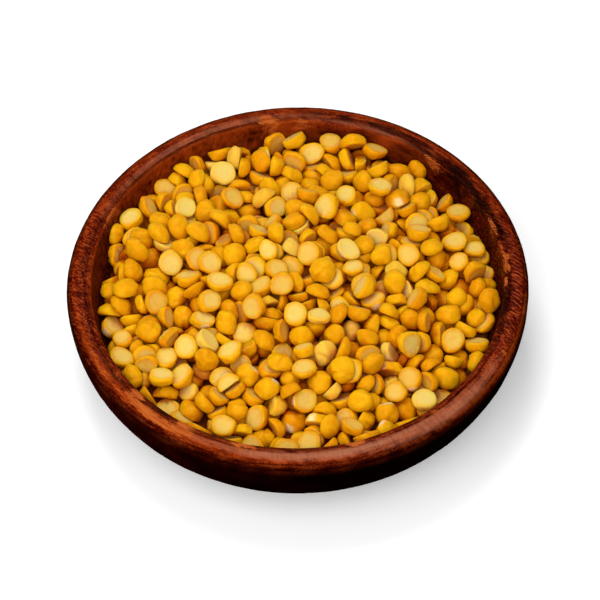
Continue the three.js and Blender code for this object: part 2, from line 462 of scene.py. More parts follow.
def combined(tree, operation, first, second):
    made = add_node(tree, "ShaderNodeMath", {"operation": operation})
    feed(tree, first, made.inputs[0])
    feed(tree, second, made.inputs[1])
    return made.outputs["Value"]


def times(tree, first, second):
    return combined(tree, "MULTIPLY", first, second)


def plus(tree, first, second):
    return combined(tree, "ADD", first, second)


# One colour over another by a share; either may be a colour or a socket
def layered(tree, share, under, over, blend="MIX"):
    made = add_node(tree, "ShaderNodeMix", {"data_type": "RGBA", "blend_type": blend})
    for place, value in zip(MIX_INPUTS, (share, under, over)):
        feed(tree, value, made.inputs[place])
    return made.outputs[MIX_OUTPUT]


def attribute(tree, name):
    return add_node(tree, "ShaderNodeAttribute", {"attribute_name": name}).outputs["Fac"]


def bumped(tree, height, distance, strength=1.0):
    made = add_node(tree, "ShaderNodeBump", None, {"Strength": strength, "Distance": distance})
    link(tree, height, made.inputs["Height"])
    return made.outputs["Normal"]


# Azimuth about the middle of the dish in radians, distance from it and distance back from it in metres
def around_dish(tree):
    place = add_node(tree, "ShaderNodeTexCoord")
    parts = add_node(tree, "ShaderNodeSeparateXYZ")
    link(tree, place.outputs["Object"], parts.inputs["Vector"])
    across, away = parts.outputs["X"], parts.outputs["Y"]
    azimuth = combined(tree, "ARCTAN2", away, across)
    across_square = times(tree, across, across)
    square = plus(tree, across_square, times(tree, away, away))
    return azimuth, combined(tree, "POWER", square, 0.5), away


# Marks on the lip of some breadth across it and length along it, in millimetres
def lip_marks(tree, azimuth, radius, breadth, length):
    place = add_node(tree, "ShaderNodeCombineXYZ")
    link(tree, times(tree, radius, 1 / (MM * breadth)), place.inputs["X"])
    link(tree, times(tree, azimuth, CREST_RADIUS / length), place.inputs["Y"])
    return noise_value(tree, place.outputs["Vector"], 1.0)


# Where painted glints lie on the lip: on the ribs of the turning tool and on scattered flecks
def glints(tree, azimuth, radius, blotches, specks, pores):
    phase = plus(tree, times(tree, azimuth, RIB_COUNT), times(tree, radius, RIB_LEAN))
    phase = plus(tree, phase, times(tree, blotches, RIB_WANDER))
    ribs = ranged(tree, combined(tree, "SINE", phase, 0), *RIB_RANGE)
    ribs = times(tree, attribute(tree, "ribbed"), ribs)
    flecks = times(tree, attribute(tree, "flecked"), ranged(tree, specks, *FLECK_RANGE))
    both = combined(tree, "MAXIMUM", ribs, flecks)
    return times(tree, both, ranged(tree, pores, *GLINT_BREAKS))


# Wood with its stain and varnish as they lie on this dish, with painted shade, painted highlights and painted
# glints, and with more or less shine
def finished_wood(name, shine):
    material, tree, shader = new_material(name)
    grain = millimetres(tree, GRAIN_HEADING, (GRAIN_STRETCH, 1, 1))
    plain = millimetres(tree)
    azimuth, radius, away = around_dish(tree)
    figure = noise_value(tree, grain, FIGURE_SIZE)
    pores = noise_value(tree, grain, PORE_SIZE, FINE_ROUGHNESS)
    specks = noise_value(tree, plain, SPECK_SIZE, FINE_ROUGHNESS)
    blotches = noise_value(tree, plain, BLOTCH_SIZE)
    rings = lip_marks(tree, azimuth, radius, RING_BREADTH, RING_LENGTH)
    highlight_rubs = lip_marks(tree, azimuth, radius, HIGHLIGHT_RUB_BREADTH, HIGHLIGHT_RUB_LENGTH)
    aside = combined(tree, "ABSOLUTE", away, 0)
    ringed = ranged(tree, aside, RINGS_FROM * MM, RINGS_FULL * MM, 0.0, RINGS_SHARE)
    streaks = layered(tree, ringed, figure, rings)
    mixed = ranged(tree, blotches, *BLOTCH_RANGE, BLOTCH_SHARE, -BLOTCH_SHARE)
    for pattern, share in ((streaks, FIGURE_SHARE), (pores, PORE_SHARE), (specks, SPECK_SHARE)):
        mixed = plus(tree, mixed, times(tree, pattern, share))
    tone = layered(tree, ranged(tree, mixed, *DEEP_RANGE), VARNISH_DEEP, VARNISH)
    tone = layered(tree, ranged(tree, mixed, *LIGHT_RANGE), tone, VARNISH_LIGHT)
    thin = times(tree, attribute(tree, "thin"), ranged(tree, mixed, *THIN_RANGE))
    tone = layered(tree, thin, tone, THIN_STAIN)
    smoke_and_shade = layered(tree, ranged(tree, mixed, *SMOKE_AND_SHADE_RANGE), SOOT_AND_SHADE_BLACK, SMOKED_AND_SHADE)
    # Painted shade: black on the outside round the front and right, black stain on the lip and inside
    smoke_and_shade = layered(tree, attribute(tree, "soot"), smoke_and_shade, SOOT_AND_SHADE_BLACK)
    tone = layered(tree, attribute(tree, "stained"), tone, smoke_and_shade)
    # Painted highlight where the lip is rubbed, laid together with pale wear
    scuff_highlight = times(tree, attribute(tree, "rubbed"), ranged(tree, mixed, *SCUFF_HIGHLIGHT_RANGE))
    scuff_highlight = times(tree, scuff_highlight, ranged(tree, highlight_rubs, *HIGHLIGHT_RUB_RANGE))
    tone = layered(tree, scuff_highlight, tone, SCUFF_AND_HIGHLIGHT)
    # Painted glints on the ribs and flecks
    tone = layered(tree, glints(tree, azimuth, radius, blotches, specks, pores), tone, GLINT)
    worn = attribute(tree, "worn")
    ragged = plus(tree, worn, ranged(tree, pores, *WORN_BREAKS))
    bare = ranged(tree, ragged, *WORN_EDGE, smooth=True)
    bare = times(tree, bare, ranged(tree, worn, *WORN_FROM))
    bare_tone = layered(tree, ranged(tree, streaks, *BARE_FIGURE), VARNISH_LIGHT, BARE_WOOD)
    tone = layered(tree, bare, tone, bare_tone)
    link(tree, tone, shader.inputs["Base Color"])
    dull = times(tree, bare, BARE_DULLNESS)
    link(tree, plus(tree, ranged(tree, pores, *GLOSS_RANGE), dull), shader.inputs["Roughness"])
    relief = plus(tree, streaks, times(tree, specks, SPECK_RELIEF))
    link(tree, bumped(tree, relief, GRAIN_RELIEF * MM), shader.inputs["Normal"])
    set_inputs(shader, {"Specular IOR Level": shine, "Specular Tint": WARM_SHINE})
    return material


# A finished mesh as an object at the origin, in metres
def placed(name, mesh):
    piece = bpy.data.objects.new(name, mesh)
    bpy.context.scene.collection.objects.link(piece)
    return piece


# The dish with its relief and its looks. The outside comes first in its mesh, but for the middle of the foot,
# which is the last point but one and has the last ring of faces but one.
def dish_mesh():
    section = dish_section()
    crest_row = int(np.argmax(section[:, 1]))
    mesh = turned_mesh("turned_dish", section, DISH_AROUND)
    points, normals = points_of(mesh), normals_of(mesh)
    outer = np.zeros(len(points))
    outer[:crest_row * DISH_AROUND] = 1
    outer[-2] = 1
    worn, thin, thick_and_shaded = [patched(points, places) for places in (WORN_PLACES, THIN_PLACES, THICK_STAIN_AND_SHADE_PLACES)]
    # Where the lip is rubbed pale: a painted highlight laid together with wear
    rubbed = patched(points, RUBBED_HIGHLIGHT_PLACES, RUBBED_HIGHLIGHT_RAGGEDNESS)
    looks = {"worn": worn, "thin": thin, "rubbed": rubbed, "soot": soot(points, outer)}
    # Where painted glints lie, on the ribs and on flecks
    looks["ribbed"] = patched(points, RIB_GLINT_PLACES, GLINT_RAGGEDNESS)
    looks["flecked"] = patched(points, FLECK_GLINT_PLACES, GLINT_RAGGEDNESS)
    looks["stained"] = stain_and_shade(points, outer, thin, thick_and_shaded, rubbed)
    for name, values in looks.items():
        add_values(mesh, name, values)
    azimuth = np.arctan2(points[:, 1], points[:, 0])
    relief = sum(depth * wood_noise(points, size, seed) for depth, size, seed in SURFACE_RELIEF)
    relief += sum(far * np.cos(waves * azimuth + start) for far, waves, start in LIP_WARPS)
    relief -= WEAR_DEPTH * worn
    shown = np.clip((points[:, 2] - RELIEF_FROM) / RELIEF_RUN, 0, 1)
    points += normals * (relief * shown)[:, None]
    set_points(mesh, points * MM)
    mesh.materials.append(finished_wood("varnished_wood", VARNISH_SHINE))
    mesh.materials.append(finished_wood("smoked_wood", SMOKED_AND_SHADED_SHINE))
    outside_rows = int(np.argmax((section[:, 0] < SHINE_RADIUS) & (section[:, 1] > WIDEST_LEVEL))) - 1
    side = np.zeros(len(mesh.polygons), np.int32)
    side[:outside_rows * DISH_AROUND] = 1
    side[-2 * DISH_AROUND:-DISH_AROUND] = 1
    mesh.polygons.foreach_set("material_index", side)
    return mesh


dish = placed("turned_dish", dish_mesh())
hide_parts("dish")
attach(dish, "root")


# The bed of dal: the hidden dal that fills the dish under the grains that show. It is one lumpy body, a
# little smaller than the hollow of the dish, dark where light hardly reaches between the grains above it.

BED_TOP = 20.0
BED_EDGE = 17.6
BED_GAP = 0.5
BED_AROUND = 120
BED_UNDER_STEPS = 6
BED_SIDE_STEPS = 12
BED_TOP_STEPS = 36

# Lumps on top of the bed: how high and broad, where they begin above its side and end before its edge, and
# the fine ones in its finish
LUMP_HEIGHT = 1.1
LUMP_BREADTH = 2.6
LUMP_LEVEL = 12.0
LUMP_RISE = 3.0
LUMP_RADIUS = 50.0
LUMP_FADE = 4.0
FINE_LUMP_BREADTH = 3.0
FINE_LUMP_HEIGHT = 0.8
FINE_LUMP_RANGE = (0.4, 0.7)
BED_ROUGHNESS = 0.8
BED_SHINE = 0.1
BED_SHADE = (0.105, 0.013, 0.001, 1)
BED_SHADE_LIGHT = (0.24, 0.052, 0.004, 1)


# Radius of the hollow of the dish at a level
def hollow_radius(level):
    down = np.clip((INNER_EDGE_LEVEL - level) / (INNER_EDGE_LEVEL - FLOOR_LEVEL), 0, 1)
    return FLOOR_RADIUS + (INNER_EDGE_RADIUS - FLOOR_RADIUS) * np.sqrt(1 - down ** 2)


# Level of the top of the bed at a share of the way out from its middle
def bed_level(share):
    return BED_TOP - (BED_TOP - BED_EDGE) * share ** 2


# The section of the bed, from the middle of its underside out along the dish and back over its top
def bed_section():
    depth = INNER_EDGE_LEVEL - FLOOR_LEVEL - BED_GAP
    breadth = INNER_EDGE_RADIUS - FLOOR_RADIUS - BED_GAP
    edge_angle = -math.degrees(math.asin((INNER_EDGE_LEVEL - BED_EDGE) / depth))
    under_level = np.full(BED_UNDER_STEPS, FLOOR_LEVEL + BED_GAP)
    under = np.column_stack((np.linspace(0, FLOOR_RADIUS, BED_UNDER_STEPS), under_level))
    side = ellipse_run((FLOOR_RADIUS, INNER_EDGE_LEVEL), (breadth, depth), -90, edge_angle, BED_SIDE_STEPS)
    share = np.linspace(1, 0, BED_TOP_STEPS)
    top = np.column_stack((side[-1, 0] * share, bed_level(share)))
    return np.vstack((under, side[1:], top[1:]))


def bed_mesh():
    mesh = turned_mesh("dal_bed", bed_section(), BED_AROUND)
    points = points_of(mesh)
    radius = np.hypot(points[:, 0], points[:, 1])
    risen = np.clip((points[:, 2] - LUMP_LEVEL) / LUMP_RISE, 0, 1)
    on_top = risen * np.clip((LUMP_RADIUS - radius) / LUMP_FADE, 0, 1)
    lumps = np.array([noise.noise(place) for place in (points / LUMP_BREADTH).tolist()])
    points[:, 2] += LUMP_HEIGHT * lumps * on_top
    set_points(mesh, points * MM)
    return mesh


def shaded_dal():
    material, tree, shader = new_material("shaded_dal")
    lumps = noise_value(tree, millimetres(tree), FINE_LUMP_BREADTH)
    tone = layered(tree, ranged(tree, lumps, *FINE_LUMP_RANGE), BED_SHADE, BED_SHADE_LIGHT)
    link(tree, tone, shader.inputs["Base Color"])
    set_inputs(shader, {"Roughness": BED_ROUGHNESS, "Specular IOR Level": BED_SHINE})
    link(tree, bumped(tree, lumps, FINE_LUMP_HEIGHT * MM), shader.inputs["Normal"])
    return material


bed = placed("dal_bed", bed_mesh())
bed.data.materials.append(shaded_dal())
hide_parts("dal_heap")
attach(bed, "root")


# The chana dal: husked chickpeas split in two, each a half pea with a flat pale cut face and a domed
# orange-yellow back. They are poured into the dish over the bed, and lie as they fall.

GRAIN_COUNT = 630
POUR_SEED = 8
POUR_FRAMES = 70
GRAINS_IN_LAYER = 100
LAYER_RISE = 8.0
FIRST_LAYER = 25.0
WIDE_LAYERS = 4
WIDE_SPREAD = 50.0
HEAP_SPREAD = 42.0
HEAP_SHIFT = (-3.2, 6.5)
LAYER_TURN = 1.1
SEAT_JITTER = 0.8
RISE_JITTER = 0.4
GOLDEN_ANGLE = math.pi * (3 - math.sqrt(5))

# The pour itself, in units of 10 mm: how the grains fall, rub and come to rest, and the fence in millimetres
# that keeps them over the dish until they do
POUR_SCALE = 0.1
POUR_GRAVITY = -98.1
POUR_FRAME_RATE = 30
POUR_SUBSTEPS = 10
POUR_ITERATIONS = 12
DISH_FRICTION = 0.5
DAL_FRICTION = 0.55
DAL_DRAG = 0.15
DAL_TURNING_DRAG = 0.35
TOUCH_MARGIN = 0.004
HULL_FINENESS = (1, 4, 10)
FENCE_RADIUS = 57.0
FENCE_OUTER_RADIUS = 80.0
FENCE_FOOT = 27.0
FENCE_LID = 170.0
FENCE_TOP = 175.0
FENCE_AROUND = 48

# Grains that count as in the heap: how far clear of the wall, how little sunk in the bed, and how high
WALL_CLEARANCE = 0.8
BED_REACH = 54.0
DEEPEST_SINK = 1.5
HIGHEST_GRAIN = 35.0

# Where the top of the heap stands clear of the wall: azimuth and half width in degrees, and how far out it
# reaches, from this level up
CLEAR_PLACES = [
    (236.0, 16.0, 52.0),
    (334.0, 18.0, 52.0),
]
CLEAR_LEVEL = 22.3

# Half peas come in many shapes: first the smooth ones, then the wrinkled ones, and last the broken ones, with
# this share of their length left
SMOOTH_SHAPES = 14
WRINKLED_SHAPES = 10
BROKEN_LEFT = [0.66, 0.55, 0.45, 0.34]
WHOLE_SHAPES = SMOOTH_SHAPES + WRINKLED_SHAPES
ALL_SHAPES = WHOLE_SHAPES + len(BROKEN_LEFT)
WRINKLED_SHARE = 0.36
BROKEN_SHARE = 0.06

# Each shape is drawn from these ranges: length and dent in millimetres, breadth, thickness and beak as shares,
# and how full its back is. The values after them are alike for all.
LENGTH_RANGE = (6.0, 7.5)
BREADTH_RANGE = (0.84, 1.0)
THICKNESS_RANGE = (0.44, 0.55)
FULLNESS_RANGE = (2.3, 3.5)
BEAK_RANGE = (0.0, 0.13)
DENT_RANGE = (0.03, 0.25)
BACK_ROUNDNESS = 0.78
SHAPE_SEED = 100
RIM_DEPTH = 0.18
RIM_BREADTH = 0.14
CUT_BREADTH = 0.86
DENT_BREADTH = 0.85
CUT_RINGS = (0.30, 0.60, 0.78)
LEAN = 0.1
OVAL = 0.025
THREE_SIDED = 0.025
KNOBBLY = 0.012
BEAK_BREADTH = 0.33
PRESS_DEPTH = 0.3
WEIGHT_DEPTH = 0.42

# Shares of the depth and of the way out from which a point counts as on the back, the side or the chipped
# rim, up to which it counts as on the cut face, and over which the folds come in
BACK_FROM = 0.1
SIDE_FROM = 0.7
CHIP_FROM = 0.6
CUT_DEPTH = 0.01
FOLD_FROM = 0.25
FOLD_FADE = 0.2

# Lumps of the back, and flats where it lay against other peas: how many, facing which way in degrees from
# straight down, and how deep; then the same for chips, the folds of the wrinkled ones and the broken faces
PEA_LUMPS = 0.16
PEA_LUMP_FINENESS = 0.42
PEA_LUMP_STEP = 7.3
RIM_LUMPS = 0.15
LUMPS_GROWTH = 6
FLAT_SHARE = 0.9
BACK_FLATS = 4
BACK_FLAT_TILTS = (5, 60)
BACK_FLAT_DEPTHS = (0.03, 0.16)
SIDE_FLATS = 4
SIDE_FLAT_TILTS = (65, 100)
SIDE_FLAT_DEPTHS = (0.02, 0.07)
CHIP_EVERY = 5
CHIP_TILTS = (70, 125)
CHIP_DEPTHS = (0.06, 0.16)
CHIP_SHOWN = 0.15
FOLD_COUNTS = (1, 2)
FOLD_DEPTH = 0.13
FOLD_BREADTH = 0.42
FOLD_ASIDE = 0.2
FOLD_BEND = 0.12
FOLD_RUN = 2.5
BREAK_ROUGHNESS = 0.35
BREAK_FINENESS = 0.9
BREAK_SLANT = 0.4
BREAK_PALENESS = 0.75

DAL_BACK = (0.82, 0.433, 0.0035, 1)
DAL_BACK_DEEP = (0.69, 0.270, 0.0010, 1)
DAL_PALE = (0.84, 0.543, 0.0800, 1)
DAL_CUT = (0.82, 0.603, 0.165, 1)
DAL_CUT_DULL = (0.78, 0.478, 0.080, 1)
DAL_CHIP = (0.92, 0.770, 0.420, 1)
DAL_SHADE = (0.52, 0.068, 0.0030, 1)
DAL_SHINE = (1.0, 0.74, 0.12, 1)
TONE_SEED = 17

# The finish of the dal: sizes of its mottle and of its fine grain in millimetres, and the ranges over which
# its tones, the pale cut face, the painted shade of cut faces turned down and of folds, and the gloss come in
MOTTLE_SIZE = 1.6
FINE_SIZE = 0.35
MOTTLE_SHARE = 0.6
TONE_SHARE = 0.4
BACK_RANGE = (0.22, 0.68)
PALE_RANGE = (0.91, 0.97)
CUT_EDGE = (0.45, 0.96, 1.0, 0.0)
CUT_MOTTLE = (0.25, 0.5, 0.75, 1.0)
CUT_UPWARD_SHADE = (0.0, 0.6, 0.25, 1.0)
FOLD_SHADE = 0.5
CHIP_PALENESS = 0.8
DAL_GLOSS = (0.3, 0.7, 0.30, 0.42)
FINE_RELIEF = 0.2
DAL_RELIEF = 0.25
DAL_RELIEF_STRENGTH = 0.5
DAL_SHINE_LEVEL = 0.26
DAL_GLOW = 0.85
DAL_GLOW_REACH = (2.4, 0.5, 0.05)

# Shade between the grains: how finely the top of the heap is read and out to where, how often it is widened,
# how far below it the shade starts and over what depth it grows, and what sides turned from the light get
SHADE_CELLS = 96
SHADE_REACH = 60
SHADE_WIDENINGS = 2
SHADE_FROM = 2.9
SHADE_RUN = 4.6
DEEPEST_SHADE = 0.72
SIDE_SHADE = 0.17
SIDE_SHADE_FROM = 0.35

# Steps over the rim, down the back and round a half pea, and the sorts of dal: the first shape and how many
SMOOTH_FINENESS = (2, 7, 20)
WRINKLED_FINENESS = (3, 9, 26)
DAL_SORTS = [
    ("smooth_half_peas", 0, SMOOTH_SHAPES, SMOOTH_FINENESS),
    ("wrinkled_half_peas", SMOOTH_SHAPES, WRINKLED_SHAPES, WRINKLED_FINENESS),
    ("broken_dal", WHOLE_SHAPES, len(BROKEN_LEFT), SMOOTH_FINENESS),
]


# Presses flats into a half pea, each facing some way between two tilts from straight down, and gives also how
# far each point was pressed
def pressed(points, middle, movable, draw, count, tilts, depths):
    moved = np.zeros(len(points))
    for _ in range(count):
        heading, tilt = draw.uniform(0, 2 * np.pi), math.radians(draw.uniform(*tilts))
        facing = np.array((math.sin(tilt) * math.cos(heading), math.sin(tilt) * math.sin(heading),
                           -math.cos(tilt)))
        stand = (points - middle) @ facing
        over = np.clip(stand - stand.max() * (1 - draw.uniform(*depths)), 0, None) * movable
        points = points - np.outer(over, facing)
        moved += over
    return points, moved


# How deep each point of a back lies in a fold that runs over it, from 0 to 1
def folds(points, length, draw):
    deep = np.zeros(len(points))
    for _ in range(draw.integers(FOLD_COUNTS[0], FOLD_COUNTS[1] + 1)):
        heading = draw.uniform(0, 2 * np.pi)
        aside = draw.uniform(-FOLD_ASIDE, FOLD_ASIDE) * length
        bend = draw.uniform(-FOLD_BEND, FOLD_BEND)
        along = points[:, 0] * math.cos(heading) + points[:, 1] * math.sin(heading)
        across = points[:, 1] * math.cos(heading) - points[:, 0] * math.sin(heading)
        line = bell(across - aside, bend * along ** 2, FOLD_BREADTH)
        deep = np.maximum(deep, line * np.clip(0.5 + along / FOLD_RUN, 0, 1))
    return deep


# Rings of a half pea from the cut face over the rim to the back: share of the outline, share of the depth
def half_pea_rings(rim_steps, dome_steps, fullness):
    rim = np.linspace(0, np.pi / 2, rim_steps + 1)
    dome = np.linspace(0, np.pi / 2, dome_steps + 1)[1:-1]
    rim_share = CUT_BREADTH + RIM_BREADTH * np.sin(rim)
    rim_depth = RIM_DEPTH * (1 - np.cos(rim))
    dome_share = np.cos(dome) ** (2 / fullness)
    dome_depth = RIM_DEPTH + (1 - RIM_DEPTH) * np.sin(dome) ** (2 / fullness)
    share = np.concatenate((CUT_RINGS, rim_share, dome_share))
    return share, np.concatenate((np.zeros(len(CUT_RINGS)), rim_depth, dome_depth))


# Noise at each point of a half pea
def pea_noise(points, fineness, shift):
    aside = Vector((shift, 0, 0))
    return np.array([noise.noise(Vector(place) * fineness + aside) for place in points.tolist()])


# Breaks a half pea off beyond a place along it, with a rough and slanting face
def break_off(points, cut, depth, edge):
    broken = points[:, 0] > edge
    rough = BREAK_ROUGHNESS * pea_noise(points, BREAK_FINENESS, 0)
    points[broken, 0] = edge + rough[broken] - BREAK_SLANT * depth[broken]
    cut[broken] = np.maximum(cut[broken], BREAK_PALENESS)


# How far the rim of a half pea stands out at each angle, as a share of half its length
def pea_outline(angle, beak, draw):
    swing = draw.uniform(0, 2 * np.pi, 3)
    turn = (angle + np.pi) % (2 * np.pi) - np.pi
    outline = 1 + OVAL * np.cos(2 * angle + swing[0]) + THREE_SIDED * np.cos(3 * angle + swing[1])
    outline += KNOBBLY * np.cos(5 * angle + swing[2]) + beak * np.exp(-(turn / BEAK_BREADTH) ** 2)
    return outline


# A value for each point of a half pea from its values by ring and by angle, with one at each pole
def over_rings(first, by_ring, by_angle, last):
    return np.concatenate(((first,), np.outer(by_ring, by_angle).ravel(), (last,)))


# One half pea in millimetres, cut face up, about the middle of its weight, with for each point whether it is
# on the cut face, how far out it is, how deep in a fold and how much of it is chipped off
def half_pea(kind, rim_steps, dome_steps, around, roundness=BACK_ROUNDNESS):
    draw = np.random.default_rng(SHAPE_SEED + kind)
    length = draw.uniform(*LENGTH_RANGE)
    breadth, beak, dent = [draw.uniform(*span) for span in (BREADTH_RANGE, BEAK_RANGE, DENT_RANGE)]
    thickness = length * draw.uniform(*THICKNESS_RANGE)
    ring_share, ring_depth = half_pea_rings(rim_steps, dome_steps, roundness * draw.uniform(*FULLNESS_RANGE))
    angle = np.arange(around) * (2 * np.pi / around)
    outline = pea_outline(angle, beak, draw)
    lean = draw.uniform(-LEAN, LEAN, 2) * length
    whole_ring = np.ones(around)
    share = over_rings(0, ring_share, whole_ring, 0)
    depth = over_rings(0, ring_depth, whole_ring, 1)
    angles = over_rings(0, np.ones(len(ring_share)), angle, 0)
    reach = over_rings(0, np.ones(len(ring_share)), outline, 0) * share * length / 2
    points = np.column_stack((reach * np.cos(angles), reach * np.sin(angles) * breadth, -depth * thickness))
    points[:, :2] += np.outer(depth, lean)
    middle = np.array((0, 0, -PRESS_DEPTH * thickness))
    lumps = PEA_LUMPS * pea_noise(points, PEA_LUMP_FINENESS, kind * PEA_LUMP_STEP)
    points += (points - middle) * (lumps * np.clip(depth * LUMPS_GROWTH, RIM_LUMPS, 1))[:, None]
    on_back, on_side = FLAT_SHARE * (depth > BACK_FROM), FLAT_SHARE * (share > SIDE_FROM)
    points, _ = pressed(points, middle, on_back, draw, BACK_FLATS, BACK_FLAT_TILTS, BACK_FLAT_DEPTHS)
    points, _ = pressed(points, middle, on_side, draw, SIDE_FLATS, SIDE_FLAT_TILTS, SIDE_FLAT_DEPTHS)
    cut = (depth < CUT_DEPTH).astype(float)
    folded = np.zeros(len(points))
    if SMOOTH_SHAPES <= kind < WHOLE_SHAPES:
        folded = folds(points, length, draw) * np.clip((depth - FOLD_FROM) / FOLD_FADE, 0, 1)
        points -= (points - middle) * (FOLD_DEPTH * folded)[:, None]
    chips = int(kind % CHIP_EVERY == 0)
    points, chipped = pressed(points, middle, 1.0 * (share > CHIP_FROM), draw, chips, CHIP_TILTS, CHIP_DEPTHS)
    points[:, 2] -= dent * np.clip(1 - (share / DENT_BREADTH) ** 2, 0, 1) * cut
    if kind >= WHOLE_SHAPES:
        left = BROKEN_LEFT[kind - WHOLE_SHAPES]
        break_off(points, cut, depth, length * (left - 0.5))
        points[:, 0] += length * (1 - left) / 2
    points[:, 2] += WEIGHT_DEPTH * thickness
    chipped = np.clip(chipped / CHIP_SHOWN, 0, 1)
    return points, {"cut": cut, "reach": share, "folded": folded, "chipped": chipped}


def half_pea_faces(point_count, around):
    step = np.arange(around)
    after = (step + 1) % around
    faces = np.column_stack((np.zeros(around, int), 1 + step, 1 + after)).tolist()
    last = point_count - 1 - around
    for upper in range(1, last, around):
        lower = upper + around
        faces += np.column_stack((upper + step, lower + step, lower + after, upper + after)).tolist()
    faces += np.column_stack((last + step, np.full(around, point_count - 1), last + after)).tolist()
    return faces


# The kind, place and turn of each grain before it falls: loose layers above the bed, each spread as seeds
# are in a sunflower
def poured_start():
    draw = np.random.default_rng(POUR_SEED)
    smooth = draw.integers(0, SMOOTH_SHAPES, GRAIN_COUNT)
    wrinkled = draw.integers(SMOOTH_SHAPES, WHOLE_SHAPES, GRAIN_COUNT)
    broken = draw.integers(WHOLE_SHAPES, ALL_SHAPES, GRAIN_COUNT)
    sort = draw.uniform(size=GRAIN_COUNT)
    whole = np.where(sort < BROKEN_SHARE + WRINKLED_SHARE, wrinkled, smooth)
    kinds = np.where(sort < BROKEN_SHARE, broken, whole)
    places, turns = [], []
    for index in range(GRAIN_COUNT):
        layer, seat = divmod(index, GRAINS_IN_LAYER)
        wide = layer < WIDE_LAYERS
        spread = (WIDE_SPREAD if wide else HEAP_SPREAD) * math.sqrt((seat + 0.5) / GRAINS_IN_LAYER)
        heading = seat * GOLDEN_ANGLE + layer * LAYER_TURN
        shift = draw.uniform(-SEAT_JITTER, SEAT_JITTER, 2) + (0 if wide else np.array(HEAP_SHIFT))
        rise = FIRST_LAYER + layer * LAYER_RISE + draw.uniform(-RISE_JITTER, RISE_JITTER)
        places.append((spread * math.cos(heading) + shift[0], spread * math.sin(heading) + shift[1], rise))
        turns.append(Quaternion(draw.normal(size=4)).normalized())
    return kinds, places, turns


def make_solid(piece, kind, shape, friction):
    body = piece.rigid_body
    body.type = kind
    body.collision_shape = shape
    body.mesh_source = "BASE"
    body.friction = friction
    body.restitution = 0.0
    body.use_margin = True
    body.collision_margin = TOUCH_MARGIN
    body.linear_damping = DAL_DRAG
    body.angular_damping = DAL_TURNING_DRAG


# A fence that stands on the lip of the dish with a lid over it, in millimetres
def fence_mesh():
    inside = [(0, FENCE_LID), (FENCE_RADIUS, FENCE_LID), (FENCE_RADIUS, FENCE_FOOT)]
    outside = [(FENCE_OUTER_RADIUS, FENCE_FOOT), (FENCE_OUTER_RADIUS, FENCE_TOP), (0, FENCE_TOP)]
    return turned_mesh("fence", np.array(inside + outside, float), FENCE_AROUND)


# The world that the grains fall in, and the group of what is in it
def pouring_world():
    scene = bpy.context.scene
    bpy.ops.rigidbody.world_add()
    world = scene.rigidbody_world
    group = bpy.data.collections.new("pour")
    scene.collection.children.link(group)
    world.collection = group
    world.substeps_per_frame = POUR_SUBSTEPS
    world.solver_iterations = POUR_ITERATIONS
    world.point_cache.frame_end = POUR_FRAMES
    scene.gravity = (0, 0, POUR_GRAVITY)
    scene.render.fps = POUR_FRAME_RATE
    return group


# The plain shape that a grain of each kind has while it falls, a little fuller than its own
def pouring_hulls():
    hulls = []
    for kind in range(ALL_SHAPES):
        points = half_pea(kind, *HULL_FINENESS, 1.0)[0]
        hull = bpy.data.meshes.new("hull")
        hull.from_pydata((points * POUR_SCALE).tolist(), [], half_pea_faces(len(points), HULL_FINENESS[2]))
        hulls.append(hull)
    return hulls


# Lets the grains fall into the dish and settle, and gives the place and turn at which each one rests
def poured(kinds, places, turns):
    group = pouring_world()
    hollow, under, fence = frame["nodes"]["dish"].data.copy(), bed.data.copy(), fence_mesh()
    for mesh, unit in ((hollow, MM), (under, MM), (fence, 1.0)):
        mesh.transform(Matrix.Scale(POUR_SCALE / unit, 4))
        still = bpy.data.objects.new(mesh.name, mesh)
        group.objects.link(still)
        make_solid(still, "PASSIVE", "MESH", DISH_FRICTION)
    hulls = pouring_hulls()
    grains = []
    for kind, place, turn in zip(kinds, places, turns):
        grain = bpy.data.objects.new("grain", hulls[kind])
        grain.rotation_mode = "QUATERNION"
        grain.rotation_quaternion = turn
        grain.location = Vector(place) * POUR_SCALE
        group.objects.link(grain)
        make_solid(grain, "ACTIVE", "CONVEX_HULL", DAL_FRICTION)
        grains.append(grain)
    for step in range(1, POUR_FRAMES + 1):
        bpy.context.scene.frame_set(step)
    depsgraph = bpy.context.evaluated_depsgraph_get()
    rests = [grain.evaluated_get(depsgraph).matrix_world.copy() for grain in grains]
    bpy.ops.rigidbody.world_remove()
    for used in list(group.objects):
        bpy.data.objects.remove(used)
    bpy.data.collections.remove(group)
    bpy.context.scene.frame_set(1)
    return [rest.translation / POUR_SCALE for rest in rests], [rest.to_quaternion() for rest in rests]


# Keeps the grains that came to rest in the dish and above the bed, but not where the top of the heap stands
# clear of the wall
def settled(kinds, places, turns):
    kept = []
    for index, place in enumerate(places):
        radius = math.hypot(place[0], place[1])
        azimuth = math.degrees(math.atan2(place[1], place[0]))
        too_far = any(abs((azimuth - middle + 180) % 360 - 180) < half and radius > reach
                      for middle, half, reach in CLEAR_PLACES)
        in_dish = radius < hollow_radius(min(place[2], INNER_EDGE_LEVEL)) - WALL_CLEARANCE
        above_bed = place[2] > bed_level(radius / BED_REACH) - DEEPEST_SINK
        clear = place[2] < CLEAR_LEVEL or not too_far
        if in_dish and above_bed and clear and place[2] < HIGHEST_GRAIN:
            kept.append(index)
    return kinds[kept], [places[i] for i in kept], [turns[i] for i in kept]


